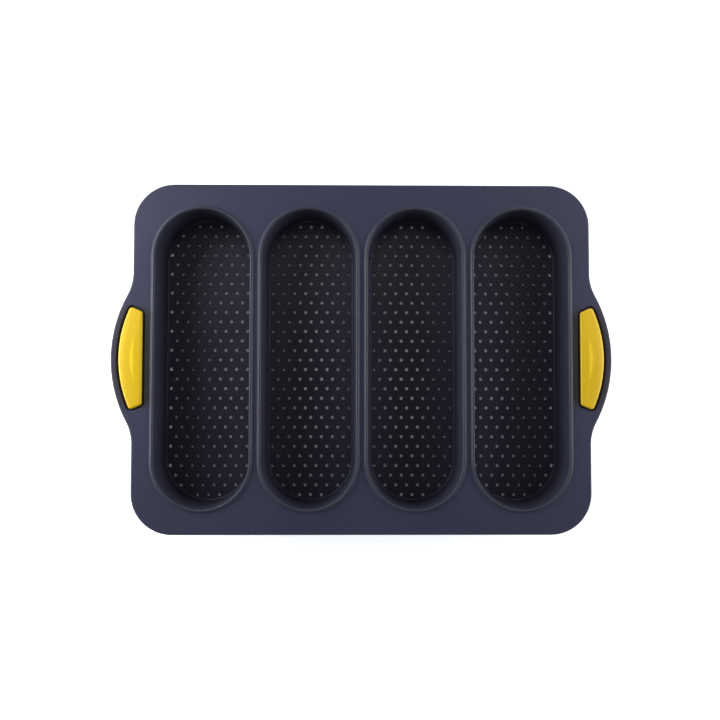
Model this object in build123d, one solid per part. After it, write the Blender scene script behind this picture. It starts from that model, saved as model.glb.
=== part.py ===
from build123d import *
from math import atan2, degrees, hypot, sqrt
import os

# Baguette tray: a moulded silicone tray of four long perforated troughs, stiffened by a steel wire
# moulded into its rim, with a coloured silicone grip pushed into a window in each end handle.
#
# Millimetres, +Z up. X runs from handle to handle, Y runs along the troughs. The origin is the
# centre of the plane the tray rests on, which is the underside of the four trough floors.

# ---- driving dimensions ---------------------------------------------------------------------

# Rim plate
RIM_X = 323.0            # rim size across the troughs, without the handles
RIM_Y = 247.0            # rim size along the troughs
RIM_CORNER_R = 29.0
RIM_T = 4.5
RIM_EDGE_R = 1.5         # rounding of the rim's outer edge, above and below

# End handles: a shallow convex tab that flows into the rim's side through a concave neck
HANDLE_SPAN = 353.4      # overall size from handle to handle
HANDLE_R = 95.0
NECK_R = 33.0

# Troughs
TROUGH_COUNT = 4
TROUGH_PITCH = 75.0
TROUGH_STRAIGHT = 144.5  # straight length between the two round ends
TROUGH_DEPTH = 28.0      # rim top to floor
BEAD_CREST = 34.3        # trough's middle line to the top of its bead
FLOOR_HALF = 31.0        # half width at the floor, before its corner is rounded
FLOOR_CORNER_R = 1.0
WALL_T = 2.0
FLOOR_T = 2.0
ROOT_R = 1.8             # rounding between a trough's outer wall and the rim's underside

# Rounded bead that stands on the rim around every trough mouth
BEAD_R = 1.0
BEAD_PROUD = 1.3         # height of the bead above the rim
BEAD_FOOT_R = 1.8
BEAD_SKIRT_GAP = 0.6     # from the material under the bead to the middle line between troughs

# Vent holes in the trough floors: staggered rows that fill a round-ended field of hole centres
VENT_D = 2.4
VENT_PITCH = 8.0         # spacing along a row, across the trough
VENT_ROW_PITCH = 7.08
VENT_ROWS = 29
VENT_FIELD_R = 28.6      # half width and end radius of the field

# Steel wire moulded into the rim, and the holes left by the pins that held it in the mould
WIRE_D = 2.4
WIRE_INSET = 2.2         # wire centre to the rim's outer edge
LOCATOR_COUNT = 12
LOCATOR_D = 1.6

# Handle grips: a plug with a lip above and below the handle, like a grommet
GRIP_INNER_X = 154.3     # straight inner side
GRIP_OUTER_X = 170.6     # middle of the curved outer side
GRIP_TIP_X = 162.6       # pointed ends
GRIP_TIP_Y = 36.2
GRIP_INNER_Y = 32.6      # half length of the straight inner side
GRIP_CORNER_R = 2.0
GRIP_PROUD = 2.0         # how far each lip stands above the rim
GRIP_EDGE_R = 1.9
LIP_OVERLAP = 2.0        # lip beyond the window all round
GROOVE = 1.6             # open gap between the lip and its pocket
POCKET_DEPTH = 1.6

# ---- derived heights and places -------------------------------------------------------------

RIM_TOP = FLOOR_T + TROUGH_DEPTH
RIM_BOTTOM = RIM_TOP - RIM_T
RIM_MIDDLE = RIM_TOP - RIM_T / 2
CUT_PAST = 1.0           # how far a cut runs past the face it opens
MOUTH_HALF = BEAD_CREST - BEAD_R
BEAD_MIDDLE = RIM_TOP + BEAD_PROUD - BEAD_R
trough_centres = [
    (i - (TROUGH_COUNT - 1) / 2) * TROUGH_PITCH for i in range(TROUGH_COUNT)
]


# ---- rim ------------------------------------------------------------------------------------

def rim_outline(inset=0.0):
    """Closed outline of the rim and both handles, moved inwards by inset."""
    half_x = RIM_X / 2 - inset
    half_y = RIM_Y / 2 - inset
    corner_r = RIM_CORNER_R - inset
    bulge_x = HANDLE_SPAN / 2 - HANDLE_R
    neck_x = RIM_X / 2 + NECK_R
    neck_y = sqrt((HANDLE_R + NECK_R) ** 2 - (neck_x - bulge_x) ** 2)
    sweep_angle = degrees(atan2(neck_y, neck_x - bulge_x))
    corner = (half_x - corner_r, half_y - corner_r)
    quarter = [
        CenterArc((bulge_x, 0), HANDLE_R - inset, 0, sweep_angle),
        CenterArc((neck_x, neck_y), NECK_R + inset, 180, sweep_angle),
        Line((half_x, neck_y), (half_x, corner[1])),
        CenterArc(corner, corner_r, 0, 90),
        Line((corner[0], half_y), (0, half_y)),
    ]
    half = quarter + [edge.mirror(Plane.YZ) for edge in quarter]
    return Wire(half + [edge.mirror(Plane.XZ) for edge in half])


def rim_plate():
    """Flat rim with rounded outer edges, before the trough mouths are opened."""
    plate = extrude(Plane.XY.offset(RIM_BOTTOM) * make_face(rim_outline()), RIM_T)
    edges = plate.edges().group_by(Axis.Z)
    return fillet(edges[0] + edges[-1], RIM_EDGE_R)


# ---- troughs --------------------------------------------------------------------------------

def corner_at(face, point):
    """The face's corner nearest to a point."""
    return face.vertices().sort_by_distance(Vector(*point))[0]


def trough_half_section():
    """Floor, drafted wall and bead: X is the distance from the trough's axis, Y the height."""
    draft = (MOUTH_HALF - FLOOR_HALF) / (BEAD_MIDDLE - FLOOR_T)
    wall_across = WALL_T * hypot(1, draft)
    inner_floor = (FLOOR_HALF, FLOOR_T)
    outer_floor = (FLOOR_HALF - draft * FLOOR_T + wall_across, 0)
    root = (FLOOR_HALF + draft * (RIM_BOTTOM - FLOOR_T) + wall_across, RIM_BOTTOM)
    bead_outer = (BEAD_CREST + sqrt(BEAD_R ** 2 - (RIM_TOP - BEAD_MIDDLE) ** 2), RIM_TOP)
    skirt_x = TROUGH_PITCH / 2 - BEAD_SKIRT_GAP
    section = make_face(Polyline(
        (0, 0), outer_floor, root, (skirt_x, RIM_BOTTOM), (skirt_x, RIM_TOP), (BEAD_CREST, RIM_TOP),
        (MOUTH_HALF, BEAD_MIDDLE), inner_floor, (0, FLOOR_T), close=True))
    section = fillet(corner_at(section, inner_floor), FLOOR_CORNER_R)
    section = fillet(corner_at(section, outer_floor), FLOOR_CORNER_R + WALL_T)
    section = fillet(corner_at(section, root), ROOT_R)
    section += Pos(BEAD_CREST, BEAD_MIDDLE) * Circle(BEAD_R)
    return fillet(corner_at(section, bead_outer), BEAD_FOOT_R)


def mouth_half_section():
    """Room for a trough and its bead, through the whole rim."""
    return make_face(Polyline(
        (0, RIM_BOTTOM - CUT_PAST), (BEAD_CREST, RIM_BOTTOM - CUT_PAST),
        (BEAD_CREST, RIM_TOP + CUT_PAST), (0, RIM_TOP + CUT_PAST), close=True))


def round_ended(half_section):
    """Carry a half section round the plan of a trough: two straight sides and two round ends."""
    side = Plane.XZ * half_section
    straight = extrude(side + mirror(side, Plane.YZ), TROUGH_STRAIGHT / 2, both=True)
    end = Pos(0, TROUGH_STRAIGHT / 2) * revolve(side, Axis.Z, 180)
    return straight + end + mirror(end, Plane.XZ)


def vent_points():
    """Centres of one floor's vent holes: staggered rows, kept inside a round-ended field."""
    points = []
    for row in range(VENT_ROWS):
        y = (row - (VENT_ROWS - 1) / 2) * VENT_ROW_PITCH
        beyond = max(0.0, abs(y) - TROUGH_STRAIGHT / 2)
        reach = sqrt(max(0.0, VENT_FIELD_R ** 2 - beyond ** 2))
        stagger = (row % 2) * VENT_PITCH / 2
        most = int(VENT_FIELD_R // VENT_PITCH) + 1
        for step in range(-most, most + 1):
            x = step * VENT_PITCH + stagger
            if abs(x) <= reach:
                points.append((x, y))
    return points


def perforated_trough():
    """One trough with its bead and all its vent holes, centred on the Z axis."""
    shell = round_ended(trough_half_section())
    drill = Cylinder(VENT_D / 2, 2 * (FLOOR_T + CUT_PAST))
    vents = [Pos(x, y) * drill for x, y in vent_points()]
    return shell - vents


# ---- handle grips ---------------------------------------------------------------------------

def grip_plan(grow=0.0):
    """Plan of the right-hand grip's lip, made larger all round by grow."""
    side = Line((GRIP_INNER_X, -GRIP_INNER_Y), (GRIP_INNER_X, GRIP_INNER_Y))
    upper_end = Line(side @ 1, (GRIP_TIP_X, GRIP_TIP_Y))
    lower_end = Line((GRIP_TIP_X, -GRIP_TIP_Y), side @ 0)
    outer = ThreePointArc(upper_end @ 1, (GRIP_OUTER_X, 0), lower_end @ 0)
    plan = make_face([side, upper_end, outer, lower_end])
    plan = fillet(plan.vertices(), GRIP_CORNER_R)
    return offset(plan, grow) if grow else plan


def slab(plan, low, high):
    """A plan pulled up from one height to another."""
    return extrude(Plane.XY.offset(low) * plan, high - low)


def handle_opening():
    """Window through the right-hand handle, with a shallow pocket for the lip on both faces."""
    window = slab(grip_plan(-LIP_OVERLAP), RIM_BOTTOM - CUT_PAST, RIM_TOP + CUT_PAST)
    upper = slab(grip_plan(GROOVE), RIM_TOP - POCKET_DEPTH, RIM_TOP + CUT_PAST)
    lower = slab(grip_plan(GROOVE), RIM_BOTTOM - CUT_PAST, RIM_BOTTOM + POCKET_DEPTH)
    return window + upper + lower


def right_grip():
    """Plug in the handle's window with a rounded lip above and below."""
    upper = slab(grip_plan(), RIM_TOP - POCKET_DEPTH, RIM_TOP + GRIP_PROUD)
    upper = fillet(upper.edges().group_by(Axis.Z)[-1], GRIP_EDGE_R)
    lower = slab(grip_plan(), RIM_BOTTOM - GRIP_PROUD, RIM_BOTTOM + POCKET_DEPTH)
    lower = fillet(lower.edges().group_by(Axis.Z)[0], GRIP_EDGE_R)
    web = slab(grip_plan(-LIP_OVERLAP), RIM_BOTTOM + POCKET_DEPTH, RIM_TOP - POCKET_DEPTH)
    return upper + web + lower


# ---- rim wire -------------------------------------------------------------------------------

wire_path = Pos(0, 0, RIM_MIDDLE) * rim_outline(WIRE_INSET)


def rim_wire():
    """One closed ring of round wire that follows the rim and runs out through both handles."""
    section = Plane(wire_path @ 0, z_dir=wire_path % 0) * Circle(WIRE_D / 2)
    return sweep(section, path=wire_path)


def locator_holes():
    """Small holes in the rim's underside, up to the wire, left by the pins that located it."""
    hole = Pos(0, 0, -RIM_T / 2) * Cylinder(LOCATOR_D / 2, RIM_T)
    return [
        Pos(wire_path @ ((i + 0.5) / LOCATOR_COUNT)) * hole for i in range(LOCATOR_COUNT)
    ]


# ---- pieces ---------------------------------------------------------------------------------

rim_frame = rim_wire()

mouth = round_ended(mouth_half_section())
opening = handle_opening()
trough = perforated_trough()
tray_body = rim_plate() - [Pos(x, 0) * mouth for x in trough_centres]
tray_body += [Pos(x, 0) * trough for x in trough_centres]
tray_body -= [opening, mirror(opening, Plane.YZ), rim_frame] + locator_holes()

grip_right = right_grip()
grip_left = mirror(grip_right, Plane.YZ)

pieces = {
    "tray_body": tray_body,
    "rim_frame": rim_frame,
    "grip_left": grip_left,
    "grip_right": grip_right,
}

os.makedirs("parts", exist_ok=True)
for name, piece in pieces.items():
    export_step(piece, f"parts/{name}.step")
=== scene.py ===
from math import atan2, copysign, cos, degrees, hypot, inf, pi, radians, sin, sqrt, tan

import bmesh
import bpy
from mathutils import Euler, Matrix, Vector
from mathutils.geometry import delaunay_2d_cdt

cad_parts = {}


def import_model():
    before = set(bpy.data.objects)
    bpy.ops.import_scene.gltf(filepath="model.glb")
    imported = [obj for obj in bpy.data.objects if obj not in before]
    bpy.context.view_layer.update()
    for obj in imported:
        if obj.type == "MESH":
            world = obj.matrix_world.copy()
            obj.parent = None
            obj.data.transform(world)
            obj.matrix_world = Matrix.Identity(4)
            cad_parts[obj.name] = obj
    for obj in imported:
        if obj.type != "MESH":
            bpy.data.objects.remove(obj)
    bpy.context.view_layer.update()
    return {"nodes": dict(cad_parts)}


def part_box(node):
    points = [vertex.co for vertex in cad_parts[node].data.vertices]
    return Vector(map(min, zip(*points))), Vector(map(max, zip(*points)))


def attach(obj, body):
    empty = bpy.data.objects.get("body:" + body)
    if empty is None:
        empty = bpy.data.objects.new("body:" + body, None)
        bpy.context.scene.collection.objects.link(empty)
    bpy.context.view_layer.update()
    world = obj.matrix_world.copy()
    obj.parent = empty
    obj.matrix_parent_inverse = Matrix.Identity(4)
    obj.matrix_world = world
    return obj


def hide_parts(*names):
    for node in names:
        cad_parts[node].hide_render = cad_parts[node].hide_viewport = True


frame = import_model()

# A silicone baguette tray. All lengths are in metres, and all angles are in radians unless a comment
# says degrees. X runs from handle to handle, Y along the troughs, +Z up, and Z = 0 is the plane the
# tray rests on.

MM = 0.001

# ---- sizes ----------------------------------------------------------------------------------

tray_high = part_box("tray_body")[1]
wire_low, wire_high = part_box("rim_frame")
grip_low, grip_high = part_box("grip_right")

# Rim and handles
RIM_HALF_X = 161.5 * MM
RIM_HALF_Y = tray_high.y
RIM_CORNER_R = 29.0 * MM
RIM_EDGE_R = 1.5 * MM
HANDLE_HALF_X = tray_high.x
HANDLE_R = 95.0 * MM
NECK_R = 33.0 * MM

# Bead round each trough mouth, and the rim's faces
BEAD_CREST = 34.3 * MM       # from a trough's middle line to the top of its bead
BEAD_R = 1.0 * MM
BEAD_PROUD = 1.3 * MM        # height of the bead above the rim
BEAD_FOOT_R = 1.8 * MM
BEAD_MIDDLE = tray_high.z - BEAD_R
RIM_TOP = tray_high.z - BEAD_PROUD
RIM_MIDDLE = (wire_low.z + wire_high.z) / 2
RIM_BOTTOM = 2 * RIM_MIDDLE - RIM_TOP
PARTING_PROUD = 0.12 * MM    # moulding flash round the middle of the rim's edge
PARTING_HALF = 0.22 * MM

# Troughs
TROUGH_COUNT = 4
TROUGH_PITCH = 75.0 * MM
TROUGH_HALF_STRAIGHT = 72.25 * MM
MOUTH_HALF = BEAD_CREST - BEAD_R
FLOOR_HALF = 31.0 * MM
FLOOR_T = 2.0 * MM
WALL_T = 2.0 * MM
FLOOR_CORNER_R = 1.0 * MM
BASE_CORNER_R = FLOOR_CORNER_R + WALL_T
ROOT_R = 1.8 * MM

# Vent holes
VENT_R = 1.2 * MM
VENT_LIP = 0.2 * MM          # rounding of each hole's mouth
VENT_SIDES = 14
VENT_PITCH = 8.0 * MM
VENT_ROW_PITCH = 7.08 * MM
VENT_ROWS = 29
VENT_FIELD_R = 28.6 * MM
VENT_REACH = 4               # steps of the pitch that cover the field, each way

# Wire in the rim, and the pits in the rim's underside that show it
WIRE_R = (wire_high.z - wire_low.z) / 2
WIRE_INSET = tray_high.x - wire_high.x + WIRE_R
PIT_COUNT = 12
PIT_R = 0.8 * MM
PIT_SIDES = 16
PIT_BELOW = 1.0 * MM         # how far the shape that cuts a pit starts below the rim
CHANNEL_SIDES = 12

# Handle grips
GRIP_INNER_X = grip_low.x
GRIP_OUTER_X = grip_high.x
GRIP_TIP = (162.6 * MM, 36.2 * MM)
GRIP_INNER_HALF = 32.6 * MM
GRIP_CORNER_R = 2.0 * MM
GRIP_TOP = grip_high.z
LIP_OVERLAP = 2.0 * MM
GROOVE = 1.6 * MM
POCKET_DEPTH = 1.6 * MM
POCKET_EDGE_R = 0.7 * MM
POCKET_FOOT_R = 0.25 * MM

trough_centres = [(i - (TROUGH_COUNT - 1) / 2) * TROUGH_PITCH for i in range(TROUGH_COUNT)]


# ---- outlines -------------------------------------------------------------------------------
# Every outline is a list of points round a closed curve. The same outline at another offset has
# as many points, in the same order, so that two of them always join into a clean band.

# Steps along each part of an outline
HANDLE_STEPS = 22
NECK_STEPS = 10
RIM_SIDE_STEPS = 8
RIM_CORNER_STEPS = 16
RIM_BACK_STEPS = 22
TROUGH_SIDE_STEPS = 14
TROUGH_END_STEPS = 40
GRIP_CURVE_STEPS = 26
GRIP_CORNER_STEPS = 7
GRIP_END_STEPS = 5
GRIP_SIDE_STEPS = 14

HALVINGS = 60                # enough to find a point to the last digit


def arc(centre, radius, start, end, steps):
    """Points along an arc, from angle start towards angle end, without the last one."""
    angles = [start + (end - start) * i / steps for i in range(steps)]
    return [(centre[0] + radius * cos(a), centre[1] + radius * sin(a)) for a in angles]


def straight(a, b, steps):
    """Points along a line, without the last one."""
    return [(a[0] + (b[0] - a[0]) * i / steps, a[1] + (b[1] - a[1]) * i / steps) for i in range(steps)]


def rim_outline(inset):
    """Outline of the rim and its two handles, moved inwards by inset."""
    half_x, half_y = RIM_HALF_X - inset, RIM_HALF_Y - inset
    corner_r = RIM_CORNER_R - inset
    corner = (half_x - corner_r, half_y - corner_r)
    bulge_x = HANDLE_HALF_X - HANDLE_R
    neck_x = RIM_HALF_X + NECK_R
    neck_y = sqrt((HANDLE_R + NECK_R) ** 2 - (neck_x - bulge_x) ** 2)
    turn = atan2(neck_y, neck_x - bulge_x)
    quarter = arc((bulge_x, 0), HANDLE_R - inset, 0, turn, HANDLE_STEPS)
    quarter += arc((neck_x, neck_y), NECK_R + inset, pi + turn, pi, NECK_STEPS)
    quarter += straight((half_x, neck_y), (half_x, corner[1]), RIM_SIDE_STEPS)
    quarter += arc(corner, corner_r, 0, pi / 2, RIM_CORNER_STEPS)
    quarter += straight((corner[0], half_y), (0, half_y), RIM_BACK_STEPS)
    quarter.append((0, half_y))
    back = quarter + [(-x, y) for x, y in reversed(quarter[:-1])]
    return back + [(x, -y) for x, y in reversed(back[1:-1])]


def trough_outline(radius):
    """Round-ended outline of a trough at a given distance from its middle line."""
    end = TROUGH_HALF_STRAIGHT
    points = straight((radius, -end), (radius, end), TROUGH_SIDE_STEPS)
    points += arc((0, end), radius, 0, pi, TROUGH_END_STEPS)
    points += straight((-radius, end), (-radius, -end), TROUGH_SIDE_STEPS)
    return points + arc((0, -end), radius, pi, 2 * pi, TROUGH_END_STEPS)


def circle(radius, steps):
    """Circle round the origin."""
    return arc((0, 0), radius, 0, 2 * pi, steps)


def grip_arc():
    """Centre x and radius of the grip's curved outer side, through both tips."""
    rise = GRIP_OUTER_X - GRIP_TIP[0]
    radius = (rise ** 2 + GRIP_TIP[1] ** 2) / (2 * rise)
    return GRIP_OUTER_X - radius, radius


def grip_outline(grow):
    """Outline of the right-hand grip's lip, moved outwards by grow."""
    arc_x, arc_r = grip_arc()
    r = GRIP_CORNER_R
    slope = atan2(GRIP_TIP[1] - GRIP_INNER_HALF, GRIP_TIP[0] - GRIP_INNER_X)
    # inner corner: where the two sides, each moved in by the corner radius, meet
    inner_x = GRIP_INNER_X + r
    edge_y = GRIP_INNER_HALF + r * tan(slope)
    inner_y = edge_y - r / cos(slope)
    # tip: on the same moved line, at the corner radius inside the outer curve
    low, high = inner_x, GRIP_OUTER_X
    for _ in range(HALVINGS):
        tip_x = (low + high) / 2
        tip_y = inner_y + (tip_x - inner_x) * tan(slope)
        too_far_in = hypot(tip_x - arc_x, tip_y) < arc_r - r
        low, high = (tip_x, high) if too_far_in else (low, tip_x)
    tip_angle = atan2(tip_y, tip_x - arc_x)
    corner_r = r + grow
    points = arc((arc_x, 0), arc_r + grow, 0, tip_angle, GRIP_CURVE_STEPS)
    points += arc((tip_x, tip_y), corner_r, tip_angle, pi / 2 + slope, GRIP_CORNER_STEPS)
    start = (tip_x - corner_r * sin(slope), tip_y + corner_r * cos(slope))
    end = (inner_x - corner_r * sin(slope), inner_y + corner_r * cos(slope))
    points += straight(start, end, GRIP_END_STEPS)
    points += arc((inner_x, inner_y), corner_r, pi / 2 + slope, pi, GRIP_CORNER_STEPS)
    side_x = inner_x - corner_r
    points += straight((side_x, inner_y), (side_x, 0), GRIP_SIDE_STEPS)
    points.append((side_x, 0))
    return points + [(x, -y) for x, y in reversed(points[1:-1])]


def on_side(side, outline):
    """An outline for the right-hand end, or its mirror image for the left-hand end."""
    return [(side * x, y) for x, y in outline]


# ---- section profiles -----------------------------------------------------------------------
# A profile is a list of (offset, height) pairs.

def profile_arc(centre, radius, start, end, steps):
    """Like arc, with its last point, and with angles in degrees."""
    turn = (end - start) / steps
    angles = [radians(start + turn * i) for i in range(steps + 1)]
    return [(centre[0] + radius * cos(a), centre[1] + radius * sin(a)) for a in angles]


def between(top, bottom, shares):
    """Points on the line from top to bottom, at some shares of its length."""
    dx, dz = bottom[0] - top[0], bottom[1] - top[1]
    return [(top[0] + dx * share, top[1] + dz * share) for share in shares]


def mirrored_below(profile):
    """The same profile below the rim's middle plane, in the order that carries on from it."""
    return [(offset, 2 * RIM_MIDDLE - z) for offset, z in reversed(profile)]


DRAFT = atan2(MOUTH_HALF - FLOOR_HALF, BEAD_MIDDLE - FLOOR_T)


def trough_inside():
    """From the rim's top face over the bead and down the wall to the edge of the flat floor."""
    foot_rise = RIM_TOP + BEAD_FOOT_R - BEAD_MIDDLE
    foot_dx = sqrt((BEAD_R + BEAD_FOOT_R) ** 2 - foot_rise ** 2)
    meet = degrees(atan2(foot_rise, foot_dx))
    foot = (BEAD_CREST + foot_dx, RIM_TOP + BEAD_FOOT_R)
    profile = profile_arc(foot, BEAD_FOOT_R, 270, 180 + meet, 3)
    profile += profile_arc((BEAD_CREST, BEAD_MIDDLE), BEAD_R, meet, 180, 12)[1:]
    reach = FLOOR_CORNER_R / tan((pi / 2 + DRAFT) / 2)
    corner = (FLOOR_HALF - reach, FLOOR_T + FLOOR_CORNER_R)
    floor_arc = profile_arc(corner, FLOOR_CORNER_R, -degrees(DRAFT), -90, 4)
    return profile + between(profile[-1], floor_arc[0], (0.04, 0.3, 0.6, 0.96)) + floor_arc


def trough_outside():
    """From the rim's underside down the outer wall to the edge of the flat base."""
    across = WALL_T / cos(DRAFT)
    base_x = FLOOR_HALF - FLOOR_T * tan(DRAFT) + across
    root_x = base_x + RIM_BOTTOM * tan(DRAFT)
    root_reach = ROOT_R / tan((pi / 2 + DRAFT) / 2)
    base_reach = BASE_CORNER_R / tan((pi / 2 + DRAFT) / 2)
    root = (root_x + root_reach, RIM_BOTTOM - ROOT_R)
    base = (base_x - base_reach, BASE_CORNER_R)
    profile = profile_arc(root, ROOT_R, 90, 180 - degrees(DRAFT), 4)
    base_arc = profile_arc(base, BASE_CORNER_R, -degrees(DRAFT), -90, 6)
    return profile + between(profile[-1], base_arc[0], (0.05, 0.5, 0.95)) + base_arc


def rim_edge():
    """Round the rim's outer edge, from its top face to its underside, as (inset, height)."""
    over = profile_arc((RIM_EDGE_R, RIM_TOP - RIM_EDGE_R), RIM_EDGE_R, 90, 180, 5)
    flash = [(0, RIM_MIDDLE + PARTING_HALF), (-PARTING_PROUD, RIM_MIDDLE),
             (0, RIM_MIDDLE - PARTING_HALF)]
    under = profile_arc((RIM_EDGE_R, RIM_BOTTOM + RIM_EDGE_R), RIM_EDGE_R, 180, 270, 5)
    return over + flash + under


def pocket_section():
    """Through a handle: top pocket, window and bottom pocket, as (growth of the grip's plan, height)."""
    floor = RIM_TOP - POCKET_DEPTH
    upper = profile_arc((GROOVE + POCKET_EDGE_R, RIM_TOP - POCKET_EDGE_R), POCKET_EDGE_R, 90, 180, 4)
    upper += profile_arc((GROOVE - POCKET_FOOT_R, floor + POCKET_FOOT_R), POCKET_FOOT_R, 0, -90, 2)
    upper += [(-LIP_OVERLAP, floor)]
    return upper + mirrored_below(upper)


def vent_section():
    """Down through one vent hole, as (radius, height)."""
    upper = profile_arc((VENT_R + VENT_LIP, FLOOR_T - VENT_LIP), VENT_LIP, 90, 180, 2)
    return upper + [(VENT_R, VENT_LIP), (VENT_R + VENT_LIP, 0)]


# ---- mesh building --------------------------------------------------------------------------

ALL_FACES = 4                # the kind of result the triangulation is asked for
FILL_TOLERANCE = 1e-6        # in millimetres


class Shell:
    """Points and faces of one closed surface, put together from rings."""

    def __init__(self):
        self.points = []
        self.faces = []

    def ring(self, outline, z, centre=(0, 0)):
        """Adds an outline's points at one height and returns their numbers."""
        first = len(self.points)
        self.points += [(centre[0] + x, centre[1] + y, z) for x, y in outline]
        return list(range(first, len(self.points)))

    def band(self, a, b):
        """Joins two rings of the same length with four-sided faces."""
        for i in range(len(a)):
            j = (i + 1) % len(a)
            self.faces.append((a[i], a[j], b[j], b[i]))

    def wrap(self, outline_at, profile, centre=(0, 0)):
        """Carries a profile round an outline. Returns the first and the last ring."""
        rings = [self.ring(outline_at(offset), z, centre) for offset, z in profile]
        for a, b in zip(rings, rings[1:]):
            self.band(a, b)
        return rings[0], rings[-1]

    def fill(self, rings, extra=()):
        """Closes the flat region inside the first ring and outside the others, which are convex,
        with triangles, using extra points inside it."""
        numbers = [n for ring in rings for n in ring]
        ring_of = {n: i for i, ring in enumerate(rings) for n in ring}
        edges = []
        for ring in rings:
            first = len(edges)
            edges += [(first + i, first + (i + 1) % len(ring)) for i in range(len(ring))]
        for point in extra:
            numbers.append(len(self.points))
            self.points.append(point)
        # in millimetres, to stay well clear of the tolerance
        flat = [Vector((self.points[n][0] / MM, self.points[n][1] / MM)) for n in numbers]
        _, _, faces, source, _, _ = delaunay_2d_cdt(flat, edges, [], ALL_FACES, FILL_TOLERANCE)
        names = [numbers[given[0]] for given in source]
        for face in faces:
            corners = tuple(names[i] for i in face)
            touched = {ring_of.get(n, 0) for n in corners}
            if touched == {0} or len(touched) > 1:    # the rest lie inside an inner ring
                self.faces.append(corners)

    def mesh(self, name):
        """The shell as a Blender mesh with all its faces turned outwards and smooth."""
        mesh = bpy.data.meshes.new(name)
        mesh.from_pydata(self.points, [], self.faces)
        turn_outwards(mesh)
        mesh.polygons.foreach_set("use_smooth", [True] * len(mesh.polygons))
        return mesh


def turn_outwards(mesh):
    """Makes every face of a closed mesh look outwards."""
    work = bmesh.new()
    work.from_mesh(mesh)
    bmesh.ops.recalc_face_normals(work, faces=work.faces)
    work.to_mesh(mesh)
    work.free()


def new_object(name, data):
    """Adds an object with this mesh, camera or light to the scene."""
    obj = bpy.data.objects.new(name, data)
    bpy.context.scene.collection.objects.link(obj)
    return obj


def weighted_normals(obj):
    """Keeps flat faces flat next to small roundings."""
    modifier = obj.modifiers.new("flat_faces_stay_flat", "WEIGHTED_NORMAL")
    modifier.mode = "FACE_AREA"
    modifier.weight = 50


# ---- tray -----------------------------------------------------------------------------------

def vent_points():
    """Centres of one floor's vent holes: staggered rows, kept inside a round-ended field."""
    points = []
    for row in range(VENT_ROWS):
        y = (row - (VENT_ROWS - 1) / 2) * VENT_ROW_PITCH
        past_end = max(0.0, abs(y) - TROUGH_HALF_STRAIGHT)
        reach = sqrt(max(0.0, VENT_FIELD_R ** 2 - past_end ** 2))
        stagger = (row % 2) * VENT_PITCH / 2
        steps = [step * VENT_PITCH + stagger for step in range(-VENT_REACH, VENT_REACH)]
        points += [(x, y) for x in steps if abs(x) <= reach]
    return points


def add_trough(shell, x):
    """Adds one trough. Returns the rings where it meets the rim's top face and underside."""
    mouth, floor_edge = shell.wrap(trough_outline, trough_inside(), (x, 0))
    root, base_edge = shell.wrap(trough_outline, trough_outside(), (x, 0))
    floor_rings, base_rings = [floor_edge], [base_edge]
    for vent_x, vent_y in vent_points():
        centre = (x + vent_x, vent_y)
        top, bottom = shell.wrap(lambda r: circle(r, VENT_SIDES), vent_section(), centre)
        floor_rings.append(top)
        base_rings.append(bottom)
    shell.fill(floor_rings)
    shell.fill(base_rings)
    return mouth, root


def pit_centres():
    """Places on the wire's path where a mould pin held it, evenly spaced along the outline."""
    path = rim_outline(WIRE_INSET)
    lengths = [0.0]
    for a, b in zip(path, path[1:] + path[:1]):
        lengths.append(lengths[-1] + hypot(b[0] - a[0], b[1] - a[1]))
    centres = []
    for i in range(PIT_COUNT):
        wanted = (i + 0.5) / PIT_COUNT * lengths[-1]
        n = max(k for k in range(len(path)) if lengths[k] <= wanted)
        share = (wanted - lengths[n]) / (lengths[n + 1] - lengths[n])
        a, b = path[n], path[(n + 1) % len(path)]
        centres.append((a[0] + (b[0] - a[0]) * share, a[1] + (b[1] - a[1]) * share))
    return centres


def tray_shell():
    """The whole tray as one closed surface, still without the wire's channel and its pits."""
    shell = Shell()
    top_edge, bottom_edge = shell.wrap(rim_outline, rim_edge())
    top_rings, bottom_rings = [top_edge], [bottom_edge]
    for x in trough_centres:
        mouth, root = add_trough(shell, x)
        top_rings.append(mouth)
        bottom_rings.append(root)
    for side in (1, -1):
        upper, lower = shell.wrap(lambda grow: on_side(side, grip_outline(grow)), pocket_section())
        top_rings.append(upper)
        bottom_rings.append(lower)
    shell.fill(top_rings)
    shell.fill(bottom_rings)
    return shell


# ---- grips ----------------------------------------------------------------------------------

GRIP_SHOULDER = 0.2 * MM     # straight side above the rim before the lip's edge rounds over
EDGE_REACH = 1.4 * MM        # width of the rounded edge
EDGE_RISE = 0.8 * MM
EDGE_RINGS = [0.0, 0.04, 0.13, 0.3, 0.55, 0.85, 1.2]    # in millimetres from the edge
ROOF_RISE = GRIP_TOP - RIM_TOP - GRIP_SHOULDER - EDGE_RISE
RIDGE_IN = 9.4 * MM          # the ridge follows the curved side, this far inside it
RIDGE_ROUND = 0.8 * MM
RIDGE_SLOPE = 0.07           # how the roof falls from its ridge to the straight side
BROW_SLOPE = 0.015           # and to the facet along the curved side
FACET_WIDTH = 3.8 * MM
FACET_SLOPE = 0.15
FACET_ROUND = 0.5 * MM
ROOF_HALF = 42.0 * MM        # half length over which the roof fades out
LIP_GRID = 1.05 * MM
LIP_SMOOTHING = 3
LIP_UNDER = 0.03 * MM        # clearance between a lip and its pocket
LIP_BELOW = 0.3 * MM         # an extra ring round the lip, this far below the rim's top face
LIP_BEVEL = 0.2 * MM         # bevel at the foot of the lip


def edge_rise(distance):
    """Height of the rounded edge above the shoulder, at a distance in from the lip's outline."""
    share = 1 - min(distance / EDGE_REACH, 1.0)
    return EDGE_RISE * sqrt(1 - share ** 2)


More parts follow.
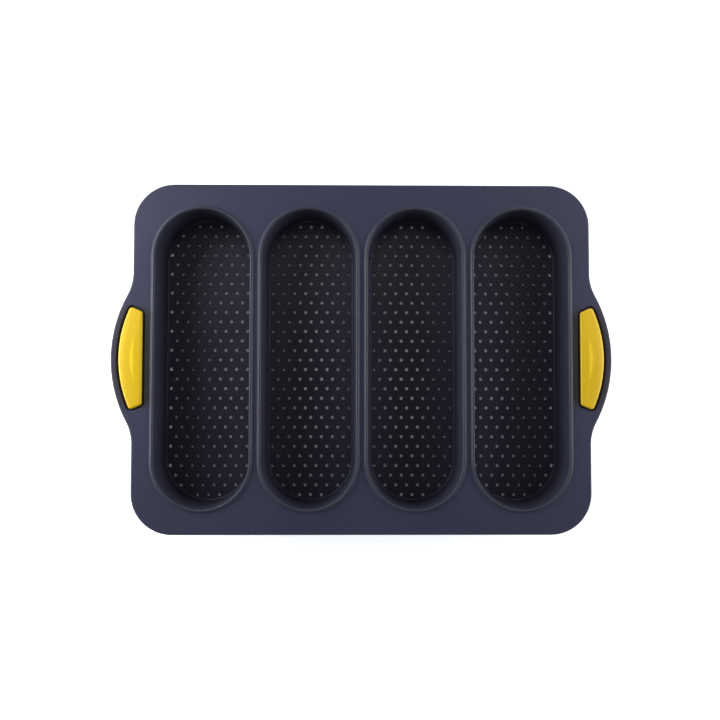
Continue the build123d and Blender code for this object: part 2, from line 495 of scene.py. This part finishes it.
def roof_rise(x, y):
    """Height of the low roof over the lip: a ridge and a facet that both follow the curved side."""
    arc_x, arc_r = grip_arc()
    from_outer = arc_r - hypot(x - arc_x, y)
    away = hypot(from_outer - RIDGE_IN, RIDGE_ROUND) - RIDGE_ROUND
    fall = away * (BROW_SLOPE if from_outer < RIDGE_IN else RIDGE_SLOPE)
    into_facet = FACET_WIDTH - from_outer
    fall += FACET_SLOPE * (into_facet + hypot(into_facet, FACET_ROUND)) / 2
    return max(0.0, ROOF_RISE - fall) * (1 - (y / ROOF_HALF) ** 2)


def distance_to(point, outline):
    """Shortest distance from a point to a closed outline."""
    best = inf
    for (ax, ay), (bx, by) in zip(outline, outline[1:] + outline[:1]):
        dx, dy = bx - ax, by - ay
        share = ((point[0] - ax) * dx + (point[1] - ay) * dy) / (dx * dx + dy * dy)
        share = min(max(share, 0.0), 1.0)
        best = min(best, hypot(point[0] - ax - share * dx, point[1] - ay - share * dy))
    return best


def inside(point, outline):
    """Whether a point lies inside a closed outline."""
    odd = False
    for (ax, ay), (bx, by) in zip(outline, outline[1:] + outline[:1]):
        if (ay > point[1]) != (by > point[1]):
            odd ^= point[0] < ax + (point[1] - ay) / (by - ay) * (bx - ax)
    return odd


def lip_points():
    """Staggered grid of points over the lip, inside its last ring, with their heights."""
    edge = grip_outline(0)
    last = grip_outline(-EDGE_RINGS[-1] * MM)
    points = []
    rows = int(2 * GRIP_TIP[1] / LIP_GRID)
    columns = int((GRIP_OUTER_X - GRIP_INNER_X) / LIP_GRID)
    for row in range(rows + 1):
        for column in range(columns + 1):
            x = GRIP_INNER_X + (column + row % 2 / 2) * LIP_GRID
            y = (row - rows / 2) * LIP_GRID
            if inside((x, y), last) and distance_to((x, y), last) > LIP_GRID / 3:
                points.append((x, y, edge_rise(distance_to((x, y), edge))))
    return points


def soften_heights(shell, first, faces, rounds):
    """Evens out the heights of the points from number first on, each towards its neighbours."""
    near = {}
    for face in faces:
        for a, b in zip(face, face[1:] + face[:1]):
            near.setdefault(a, set()).add(b)
            near.setdefault(b, set()).add(a)
    for _ in range(rounds):
        for n in range(first, len(shell.points)):
            x, y, z = shell.points[n]
            mean = sum(shell.points[m][2] for m in sorted(near[n])) / len(near[n])
            shell.points[n] = (x, y, (z + mean) / 2)


def raise_roof(shell, shoulder):
    """Lifts what lies above the shoulder, and its mirror below, by the roof's height."""
    for n, (x, y, z) in enumerate(shell.points):
        up = z - RIM_MIDDLE
        over = max(0.0, abs(up) - (shoulder - RIM_MIDDLE)) / EDGE_RISE
        shell.points[n] = (x, y, z + copysign(over * roof_rise(abs(x), y), up))


def grip_shell(side):
    """One grip: rounded lip, web in the handle's window, and the same lip below."""
    lip_floor = RIM_TOP - POCKET_DEPTH + LIP_UNDER
    web = -LIP_OVERLAP - LIP_UNDER
    shoulder = RIM_TOP + GRIP_SHOULDER
    upper = [(-d * MM, shoulder + edge_rise(d * MM)) for d in reversed(EDGE_RINGS)]
    upper += [(0, RIM_TOP - LIP_BELOW), (0, lip_floor + LIP_BEVEL)]
    upper += [(-LIP_BEVEL, lip_floor), (web, lip_floor)]
    shell = Shell()
    top_ring, bottom_ring = shell.wrap(lambda grow: on_side(side, grip_outline(grow)),
                                       upper + mirrored_below(upper))
    inner = [(side * x, y, z) for x, y, z in lip_points()]
    for ring, up in ((top_ring, 1), (bottom_ring, -1)):
        level = RIM_MIDDLE + up * (shoulder - RIM_MIDDLE)
        first, done = len(shell.points), len(shell.faces)
        shell.fill([ring], [(x, y, level + up * z) for x, y, z in inner])
        soften_heights(shell, first, shell.faces[done:], LIP_SMOOTHING)
    raise_roof(shell, shoulder)
    return shell


# ---- wire channel ---------------------------------------------------------------------------

def wire_tube(radius, sides):
    """Closed tube round the wire's path."""
    path = rim_outline(WIRE_INSET)
    inner = rim_outline(WIRE_INSET + radius)
    shell = Shell()
    rings = []
    for (x, y), (in_x, in_y) in zip(path, inner):
        across = Vector((in_x - x, in_y - y, 0)).normalized() * radius
        first = len(shell.points)
        for k in range(sides):
            a = 2 * pi * k / sides
            p = Vector((x, y, RIM_MIDDLE)) + across * cos(a) + Vector((0, 0, radius * sin(a)))
            shell.points.append(tuple(p))
        rings.append(list(range(first, first + sides)))
    for a, b in zip(rings, rings[1:] + rings[:1]):
        shell.band(a, b)
    return shell


def pit_shell():
    """The pits under the rim, each a short plug from below the rim up into the wire's channel."""
    shell = Shell()
    for centre in pit_centres():
        section = [(PIT_R, RIM_BOTTOM - PIT_BELOW), (PIT_R, RIM_MIDDLE)]
        bottom, top = shell.wrap(lambda r: circle(r, PIT_SIDES), section, centre)
        shell.faces += [tuple(bottom), tuple(top)]
    return shell


def cut_away(obj, shell, name):
    """Takes another closed shape out of an object's mesh."""
    cutter = new_object(name, shell.mesh(name))
    modifier = obj.modifiers.new(name, "BOOLEAN")
    modifier.operation = "DIFFERENCE"
    modifier.solver = "MANIFOLD"
    modifier.object = cutter
    graph = bpy.context.evaluated_depsgraph_get()
    cut = bpy.data.meshes.new_from_object(obj.evaluated_get(graph), depsgraph=graph)
    obj.modifiers.remove(modifier)
    obj.data = cut
    bpy.data.objects.remove(cutter)


# ---- materials ------------------------------------------------------------------------------

# Tray colours. Floors, walls and rim each have a deep and a pale shade that mix in soft clouds. The
# floors are painted darkest and the walls lighter, as painted shade down in the troughs, and the rim
# palest, as painted light.
FLOOR_DEEP = (0.0176, 0.0185, 0.037, 1)
FLOOR_PALE = (0.0196, 0.0205, 0.041, 1)
WALL_DEEP = (0.0250, 0.0260, 0.044, 1)
WALL_PALE = (0.0280, 0.0290, 0.049, 1)
RIM_DEEP = (0.0260, 0.0275, 0.061, 1)
RIM_PALE = (0.0290, 0.0305, 0.067, 1)
# paler colour for sharp convex edges: painted edge highlight
EDGE_HIGHLIGHT_COLOUR = (0.034, 0.035, 0.058, 1)
# darker colour for the rim beside each grip: painted shade
PAINTED_SHADE_BESIDE_GRIP = (0.0135, 0.0125, 0.0190, 1)
GRIP_BOUNCE_TINT = (1.0, 0.94, 0.72, 1)       # painted yellow bounce light from a grip on the rim right beside it

# Roughness of the trough floors, of the walls with their beads, and of the rim
FLOOR_GLOSS = 0.40
WALL_GLOSS = 0.48
RIM_GLOSS = 0.66

# Spans of height, or of distance from a middle plane, over which a mask comes in (FROM) or
# goes out again (TO)
RIM_FROM = (RIM_TOP - 1.2 * MM, RIM_TOP - 0.3 * MM)
RIM_TO = (RIM_TOP + 0.1 * MM, RIM_TOP + 0.6 * MM)
WALL_FROM = (FLOOR_T + 3 * MM, FLOOR_T + 18 * MM)
BEAD_FROM = (RIM_TOP - 3 * MM, RIM_TOP)
BEAD_END_FROM = (TROUGH_HALF_STRAIGHT - 12 * MM, TROUGH_HALF_STRAIGHT + 14 * MM)
OUTER_X_FROM = (150 * MM, 152 * MM)    # the rim's outer edge lies beyond these, the troughs inside
OUTER_Y_FROM = (110 * MM, 112 * MM)
BESIDE_GRIP_X_FROM = (146 * MM, 149 * MM)  # painted shade on the rim between a grip and the next trough, which is less matte there too
BESIDE_GRIP_X_TO = (GRIP_INNER_X, GRIP_INNER_X + 3 * MM)
BESIDE_GRIP_Y_TO = (26 * MM, 38 * MM)
TINT_X_FROM = (GRIP_INNER_X - 6 * MM, GRIP_INNER_X - 2 * MM)
TINT_Y_TO = (GRIP_TIP[1] - 4 * MM, GRIP_TIP[1] + 2 * MM)

# Grip colours, and a painted highlight along the ridge
GRIP_DEEP = (0.65, 0.425, 0.004, 1)
GRIP_PALE = (0.69, 0.465, 0.006, 1)
GRIP_RIDGE_HIGHLIGHT = (0.86, 0.62, 0.020, 1)
GRIP_GLOSS = 0.47
RIDGE_HIGHLIGHT_CORE = 0.1 * MM
RIDGE_HIGHLIGHT_WIDTH = 2.1 * MM
RIDGE_HIGHLIGHT_HALF = 20 * MM
GRIP_SCATTER = 1.2 * MM                # how deep light goes into the yellow silicone

STEEL_DULL = (0.56, 0.55, 0.53, 1)
STEEL_BRIGHT = (0.66, 0.66, 0.65, 1)

# The stage floor's glow
GLOW_COLOUR = (0.92, 0.94, 1.0, 1)
GLOW = 0.74                            # around the tray
GLOW_EDGE = 12 * MM                    # it ends this far inside the rim's outline
GLOW_FAR = 1.0
GLOW_FAR_FROM = (0.1, 0.5)             # distance from the rim's outline
GLOW_UNDER = 0.100                     # seen through the vents, in bands along the troughs
GLOW_WAVE = 63 * MM
GLOW_FADE = 0.35                       # what is left of it at the ends of the troughs
GLOW_FADE_FROM = (10 * MM, 100 * MM)

# Noise: how fine it is, in features per metre
CLOUDS = 16
GLOSS_PATCHES = 30
EDGE_HIGHLIGHT_PATCHES = 60
RIPPLES = 70
SPECKS = 420
FINE_GLOSS = 900
GRAIN = 2600
STEEL_CLOUDS = 40
STEEL_PATCHES = 300
DRAWING_LINES = 1500
PAPER_PATCHES = 6

COLOUR_SHARE, COLOUR_A, COLOUR_B = 0, 6, 7    # a colour Mix node's inputs, and its output
COLOUR_RESULT = 2


def feed(tree, socket, value):
    """Links a socket to an input, or sets the input to any other value."""
    if isinstance(value, bpy.types.NodeSocket):
        tree.links.new(value, socket)
    else:
        socket.default_value = value


def add(tree, kind, settings=None, **inputs):
    """Adds a node and feeds its inputs."""
    node = tree.nodes.new(kind)
    for key, value in (settings or {}).items():
        setattr(node, key, value)
    for name, value in inputs.items():
        feed(tree, node.inputs[name.replace("_", " ")], value)
    return node


def noise(tree, place, scale, detail, low, high):
    """Noise mapped to a range. The raw noise seldom goes beyond 0.3 to 0.7."""
    raw = add(tree, "ShaderNodeTexNoise", Vector=place, Scale=scale, Detail=detail)
    spread = add(tree, "ShaderNodeMapRange", Value=raw.outputs["Fac"], From_Min=0.3, From_Max=0.7,
                 To_Min=low, To_Max=high)
    return spread.outputs["Result"]


def calc(tree, operation, a, b=0.0):
    """One step of arithmetic."""
    node = add(tree, "ShaderNodeMath", {"operation": operation})
    feed(tree, node.inputs[0], a)
    feed(tree, node.inputs[1], b)
    return node.outputs[0]


def product(tree, *masks):
    """All the masks multiplied together."""
    result = masks[0]
    for mask in masks[1:]:
        result = calc(tree, "MULTIPLY", result, mask)
    return result


def mix_colour(tree, share, a, b, blend="MIX"):
    """Colour a blended with a share of colour b."""
    node = add(tree, "ShaderNodeMix", {"data_type": "RGBA", "blend_type": blend})
    for number, value in ((COLOUR_SHARE, share), (COLOUR_A, a), (COLOUR_B, b)):
        feed(tree, node.inputs[number], value)
    return node.outputs[COLOUR_RESULT]


def ramp(tree, value, span, to_low, to_high):
    """Maps a value within a span smoothly onto another range."""
    node = add(tree, "ShaderNodeMapRange", {"interpolation_type": "SMOOTHSTEP"}, Value=value,
               From_Min=span[0], From_Max=span[1], To_Min=to_low, To_Max=to_high)
    return node.outputs["Result"]


def beyond(tree, value, span):
    """Mask that is full beyond a span and none before it."""
    return ramp(tree, value, span, 0.0, 1.0)


def before(tree, value, span):
    """Mask that is full before a span and none beyond it."""
    return ramp(tree, value, span, 1.0, 0.0)


def distances(tree, place):
    """Distances from the two vertical middle planes, across and along the troughs, and the height."""
    split = add(tree, "ShaderNodeSeparateXYZ", Vector=place)
    across = calc(tree, "ABSOLUTE", split.outputs["X"])
    along = calc(tree, "ABSOLUTE", split.outputs["Y"])
    return across, along, split.outputs["Z"]


def new_material(name):
    """A material with an empty Principled surface, and the place of each point in the object."""
    material = bpy.data.materials.new(name)
    material.use_nodes = True
    tree = material.node_tree
    tree.nodes.clear()
    output = tree.nodes.new("ShaderNodeOutputMaterial")
    surface = tree.nodes.new("ShaderNodeBsdfPrincipled")
    tree.links.new(surface.outputs[0], output.inputs["Surface"])
    place = tree.nodes.new("ShaderNodeTexCoord").outputs["Object"]
    return material, tree, surface, place


def silicone_skin(tree, surface, place, roughness):
    """Moulded skin: gloss that varies a little, a fine blasted grain, and a barely wavy surface."""
    gloss = product(tree, roughness, noise(tree, place, GLOSS_PATCHES, 3, 0.92, 1.08),
                    noise(tree, place, FINE_GLOSS, 2, 0.96, 1.04))
    grain = noise(tree, place, GRAIN, 3, 0.0, 1.0)
    ripple = noise(tree, place, RIPPLES, 1, 0.0, 1.0)
    fine = add(tree, "ShaderNodeBump", Height=grain, Strength=0.35, Distance=0.02 * MM)
    wide = add(tree, "ShaderNodeBump", Height=ripple, Strength=0.6, Distance=0.05 * MM,
               Normal=fine.outputs["Normal"])
    feed(tree, surface.inputs["Roughness"], gloss)
    feed(tree, surface.inputs["Normal"], wide.outputs["Normal"])
    surface.inputs["IOR"].default_value = 1.41


def painted_edge_highlight(tree, place):
    """How strongly a sharp convex edge is painted paler, in patches: a painted edge highlight."""
    bend = tree.nodes.new("ShaderNodeNewGeometry").outputs["Pointiness"]
    rub = add(tree, "ShaderNodeMapRange", Value=bend, From_Min=0.51, From_Max=0.58)
    return product(tree, rub.outputs["Result"], noise(tree, place, EDGE_HIGHLIGHT_PATCHES, 4, 0.4, 1.0))


def painted_ridge_highlight(tree, place):
    """Mask of a painted highlight along a grip's ridge, widest in the middle and pointed at both ends.
    """
    arc_x, arc_r = grip_arc()
    across, along, _ = distances(tree, place)
    from_centre = calc(tree, "SUBTRACT", across, arc_x)
    along_squared = product(tree, along, along)
    squares = calc(tree, "ADD", product(tree, from_centre, from_centre), along_squared)
    outwards = calc(tree, "SUBTRACT", calc(tree, "SQRT", squares), arc_r - RIDGE_IN)
    off_ridge = calc(tree, "ABSOLUTE", outwards)
    taper = product(tree, along_squared, RIDGE_HIGHLIGHT_WIDTH / RIDGE_HIGHLIGHT_HALF ** 2)
    return before(tree, calc(tree, "ADD", off_ridge, taper), (RIDGE_HIGHLIGHT_CORE, RIDGE_HIGHLIGHT_WIDTH))


def grip_silicone():
    """Yellow silicone, slightly translucent, with a painted highlight along the ridge."""
    material, tree, surface, place = new_material("grip_silicone")
    colour = mix_colour(tree, noise(tree, place, CLOUDS, 3, 0.0, 1.0), GRIP_DEEP, GRIP_PALE)
    colour = mix_colour(tree, 1.0, colour, noise(tree, place, SPECKS, 2, 0.96, 1.04), "MULTIPLY")
    # painted highlight along the ridge
    colour = mix_colour(tree, painted_ridge_highlight(tree, place), colour, GRIP_RIDGE_HIGHLIGHT)
    feed(tree, surface.inputs["Base Color"], colour)
    silicone_skin(tree, surface, place, GRIP_GLOSS)
    surface.inputs["Subsurface Weight"].default_value = 0.2
    surface.inputs["Subsurface Radius"].default_value = (1.0, 0.6, 0.1)
    surface.inputs["Subsurface Scale"].default_value = GRIP_SCATTER
    return material


def tray_silicone():
    """Dark blue-grey silicone: a matte rim, and smoother beads, walls and floors. The rim is painted
    paler as painted light, and the troughs darker towards their floors as painted shade.
    """
    material, tree, surface, place = new_material("tray_silicone")
    across, along, height = distances(tree, place)

    # the rim between each grip and the next trough: painted shade, and less matte
    beside_grip = product(tree, beyond(tree, across, BESIDE_GRIP_X_FROM), before(tree, across, BESIDE_GRIP_X_TO),
                          before(tree, along, BESIDE_GRIP_Y_TO))
    # the rim's top face: rougher, and painted paler as painted light
    rim_matte_and_painted_light = product(tree, beyond(tree, height, RIM_FROM), before(tree, height, RIM_TO),
                    before(tree, beside_grip, (0.0, 1.0)))
    outer = calc(tree, "MAXIMUM", beyond(tree, across, OUTER_X_FROM), beyond(tree, along, OUTER_Y_FROM))
    # painted shade: walls are painted lighter than the floors from a few millimetres above them up
    wall = product(tree, beyond(tree, height, WALL_FROM), calc(tree, "SUBTRACT", 1.0, outer))
    # painted yellow bounce light from each grip on the rim beside it
    near_grip = product(tree, beyond(tree, across, TINT_X_FROM), before(tree, along, TINT_Y_TO))
    bead_end = product(tree, beyond(tree, height, BEAD_FROM), beyond(tree, along, BEAD_END_FROM))

    cloud = noise(tree, place, CLOUDS, 3, 0.0, 1.0)
    floors = mix_colour(tree, cloud, FLOOR_DEEP, FLOOR_PALE)
    walls = mix_colour(tree, cloud, WALL_DEEP, WALL_PALE)
    rim = mix_colour(tree, cloud, RIM_DEEP, RIM_PALE)
    colour = mix_colour(tree, rim_matte_and_painted_light, mix_colour(tree, wall, floors, walls), rim)
    colour = mix_colour(tree, 1.0, colour, noise(tree, place, SPECKS, 2, 0.94, 1.06), "MULTIPLY")
    # painted highlight on sharp convex edges
    colour = mix_colour(tree, painted_edge_highlight(tree, place), colour, EDGE_HIGHLIGHT_COLOUR)
    # painted shade beside each grip
    colour = mix_colour(tree, beside_grip, colour, PAINTED_SHADE_BESIDE_GRIP)
    colour = mix_colour(tree, near_grip, colour, mix_colour(tree, 1.0, colour, GRIP_BOUNCE_TINT, "MULTIPLY"))
    feed(tree, surface.inputs["Base Color"], colour)

    smooth = ramp(tree, height, (FLOOR_T, FLOOR_T + 0.3 * MM), FLOOR_GLOSS, WALL_GLOSS)
    dull = calc(tree, "MAXIMUM", rim_matte_and_painted_light, calc(tree, "MAXIMUM", outer, bead_end))
    gloss = add(tree, "ShaderNodeMapRange", Value=dull, To_Min=smooth, To_Max=RIM_GLOSS)
    silicone_skin(tree, surface, place, gloss.outputs["Result"])
    return material


def drawn_steel():
    """Bright drawn wire with fine drawing lines and a faint heat tint."""
    material, tree, surface, place = new_material("drawn_steel")
    lines = noise(tree, place, DRAWING_LINES, 4, 0.0, 1.0)
    tint = noise(tree, place, STEEL_CLOUDS, 3, 0.0, 1.0)
    feed(tree, surface.inputs["Base Color"], mix_colour(tree, tint, STEEL_DULL, STEEL_BRIGHT))
    feed(tree, surface.inputs["Roughness"], noise(tree, place, STEEL_PATCHES, 3, 0.26, 0.4))
    bump = add(tree, "ShaderNodeBump", Height=lines, Strength=0.3, Distance=0.01 * MM)
    feed(tree, surface.inputs["Normal"], bump.outputs["Normal"])
    surface.inputs["Metallic"].default_value = 1.0
    return material


def pale_floor():
    """White paper, with a glow that keeps it white around the tray and leaves the shade below it.

    It can't be seen from below, so that the tray's underside can."""
    material, tree, surface, place = new_material("pale_floor")
    across, along, _ = distances(tree, place)
    outside = calc(tree, "MAXIMUM", calc(tree, "SUBTRACT", across, RIM_HALF_X),
                   calc(tree, "SUBTRACT", along, RIM_HALF_Y))
    around = calc(tree, "MAXIMUM", ramp(tree, outside, (-GLOW_EDGE, 0.0), 0.0, GLOW),
                  ramp(tree, outside, GLOW_FAR_FROM, 0.0, GLOW_FAR))
    wave = calc(tree, "COSINE", product(tree, across, 2 * pi / GLOW_WAVE))
    under = product(tree, ramp(tree, wave, (-1.0, 1.0), GLOW_UNDER, 0.0),
                    ramp(tree, along, GLOW_FADE_FROM, 1.0, GLOW_FADE))
    feed(tree, surface.inputs["Base Color"], noise(tree, place, PAPER_PATCHES, 2, 0.86, 0.88))
    surface.inputs["Roughness"].default_value = 0.9
    surface.inputs["Emission Color"].default_value = GLOW_COLOUR
    feed(tree, surface.inputs["Emission Strength"], calc(tree, "MAXIMUM", under, around))
    facing = tree.nodes.new("ShaderNodeNewGeometry").outputs["Backfacing"]
    feed(tree, surface.inputs["Alpha"], calc(tree, "SUBTRACT", 1.0, facing))
    return material


# ---- pieces ---------------------------------------------------------------------------------

def finish_piece(obj, node, material):
    """Gives a piece its material, and puts it in the place of its CAD node."""
    obj.data.materials.clear()
    obj.data.materials.append(material)
    weighted_normals(obj)
    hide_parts(node)
    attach(obj, "root")


tray = new_object("tray", tray_shell().mesh("tray"))
cut_away(tray, pit_shell(), "pits")
cut_away(tray, wire_tube(WIRE_R, CHANNEL_SIDES), "wire_channel")
finish_piece(tray, "tray_body", tray_silicone())

yellow = grip_silicone()
for side, name in ((-1, "left"), (1, "right")):
    grip = new_object("grip_" + name + "_insert", grip_shell(side).mesh("grip_" + name))
    finish_piece(grip, "grip_" + name, yellow)

wire = frame["nodes"]["rim_frame"]
wire.data.materials.clear()
wire.data.materials.append(drawn_steel())


# ---- stage ----------------------------------------------------------------------------------

STAGE_HALF = 3.0
STAGE_Z = -0.4 * MM               # just clear of the tray's flat base

corner_signs = ((-1, -1), (1, -1), (1, 1), (-1, 1))
stage_corners = [(x * STAGE_HALF, y * STAGE_HALF, STAGE_Z) for x, y in corner_signs]
stage_mesh = bpy.data.meshes.new("stage_floor")
stage_mesh.from_pydata(stage_corners, [], [(0, 1, 2, 3)])
stage_mesh.materials.append(pale_floor())
new_object("stage_floor", stage_mesh)


# ---- camera and light -----------------------------------------------------------------------

CAMERA_DISTANCE = 521.1 * MM      # from the rim's top face
CAMERA_SHIFT = (-1.37 * MM, -1.11 * MM)
CAMERA_TILT = 2.21                # in degrees, towards the front
CAMERA_LEAN = -0.58               # in degrees, sideways
CAMERA_ROLL = 0.09                # in degrees
CAMERA_SENSOR = 36.0              # in millimetres, which is how Blender takes this and the lens
CAMERA_LENS = 37.035
CAMERA_NEAREST = 10 * MM

AMBIENT = 0.12
BACKDROP = 1.0

# Soft lights: azimuth and elevation in degrees, distance, size and brightness. They are low, and
# strongest from both sides and the back left, with little from the front and from above.
LIGHTS = {
    "left": (180, 18, 0.9, 0.45, 6.6),
    "right": (0, 18, 0.9, 0.45, 8.6),
    "front": (270, 14, 0.9, 0.45, 1.4),
    "back_high": (90, 63, 0.9, 0.45, 0.9),
    "near_left": (180, 6, 0.5, 0.25, 5.6),
    "near_back_left": (150, 25, 0.5, 0.25, 8.5),
    "near_back_right": (30, 25, 0.5, 0.25, 3.0),
    "near_back": (60, 8, 0.5, 0.25, 3.0),
}


def almost_overhead_camera():
    """The scene's camera, which looks down on the tray and leans a little."""
    turn = Euler((radians(CAMERA_TILT), radians(CAMERA_LEAN), radians(CAMERA_ROLL)), "ZYX").to_matrix()
    eye = turn @ Vector((*CAMERA_SHIFT, CAMERA_DISTANCE)) + Vector((0, 0, RIM_TOP))
    camera = new_object("camera", bpy.data.cameras.new("camera"))
    camera.matrix_world = Matrix.Translation(eye) @ turn.to_4x4()
    camera.data.sensor_width = CAMERA_SENSOR
    camera.data.lens = CAMERA_LENS
    camera.data.clip_start = CAMERA_NEAREST
    return camera


def studio_world():
    """Dim even light all round, which the camera sees as a white backdrop."""
    world = bpy.data.worlds.new("studio")
    world.use_nodes = True
    tree = world.node_tree
    seen = tree.nodes.new("ShaderNodeLightPath").outputs["Is Camera Ray"]
    strength = add(tree, "ShaderNodeMapRange", Value=seen, To_Min=AMBIENT, To_Max=BACKDROP)
    background = tree.nodes["Background"]
    background.inputs["Color"].default_value = (1, 1, 1, 1)
    feed(tree, background.inputs["Strength"], strength.outputs["Result"])
    return world


def softbox(name, azimuth, elevation, distance, size, brightness):
    """Square soft light that faces the tray. Azimuth 0 is the right-hand side, 90 the back."""
    data = bpy.data.lights.new(name, "AREA")
    data.shape = "SQUARE"
    data.size = size
    data.energy = pi * size ** 2 * brightness
    light = new_object(name, data)
    away = Vector((cos(radians(azimuth)), sin(radians(azimuth)), tan(radians(elevation)))).normalized()
    light.location = away * distance
    light.rotation_euler = (-away).to_track_quat("-Z", "Y").to_euler()
    light.visible_camera = False


scene = bpy.context.scene
scene.camera = almost_overhead_camera()
scene.view_settings.view_transform = "Standard"
scene.world = studio_world()
for light_name, light_values in LIGHTS.items():
    softbox(light_name, *light_values)
